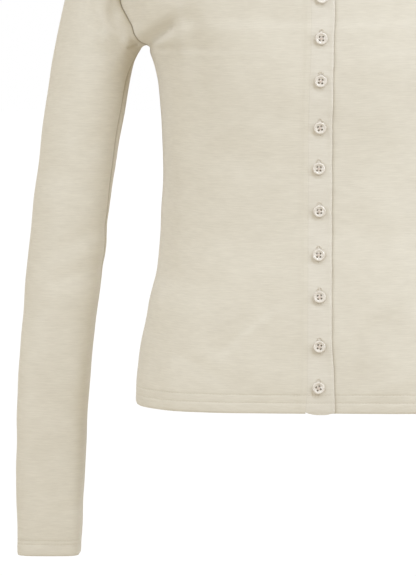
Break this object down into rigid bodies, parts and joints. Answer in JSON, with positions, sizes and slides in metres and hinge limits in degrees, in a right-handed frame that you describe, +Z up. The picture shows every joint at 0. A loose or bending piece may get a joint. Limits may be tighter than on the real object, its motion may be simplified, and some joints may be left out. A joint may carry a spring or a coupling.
{
  "type": "button cardigan",
  "caption": "Long-sleeved fitted cardigan in fine jersey, worn and buttoned: round neck with a narrow neckband, a lapped button placket, set-in sleeves and turned-up hem and cuffs.",
  "frame": {"origin": "midway between the two high shoulder points, where the wearer's shoulders carry the garment", "axes": "+Z up, front towards -Y, the wearer's left towards +X"},
  "size_m": [0.5772, 0.2134, 0.7194],
  "materials": {
    "jersey": "fine matt jersey knit with a faint cross slub",
    "jersey_band": "the same jersey, folded double and pressed flat",
    "button": "polished cream resin with a rounded rim"
  },
  "bodies": {
    "root": {"back": "jersey", "front_right": "jersey", "front_left": "jersey", "sleeve_right": "jersey", "sleeve_left": "jersey", "band_right": "jersey_band", "band_left": "jersey_band", "neckband": "jersey_band", "button_01": "button", "button_02": "button", "button_03": "button", "button_04": "button", "button_05": "button", "button_06": "button", "button_07": "button", "button_08": "button", "button_09": "button", "button_10": "button", "button_11": "button", "button_12": "button"}
  },
  "joints": []
}
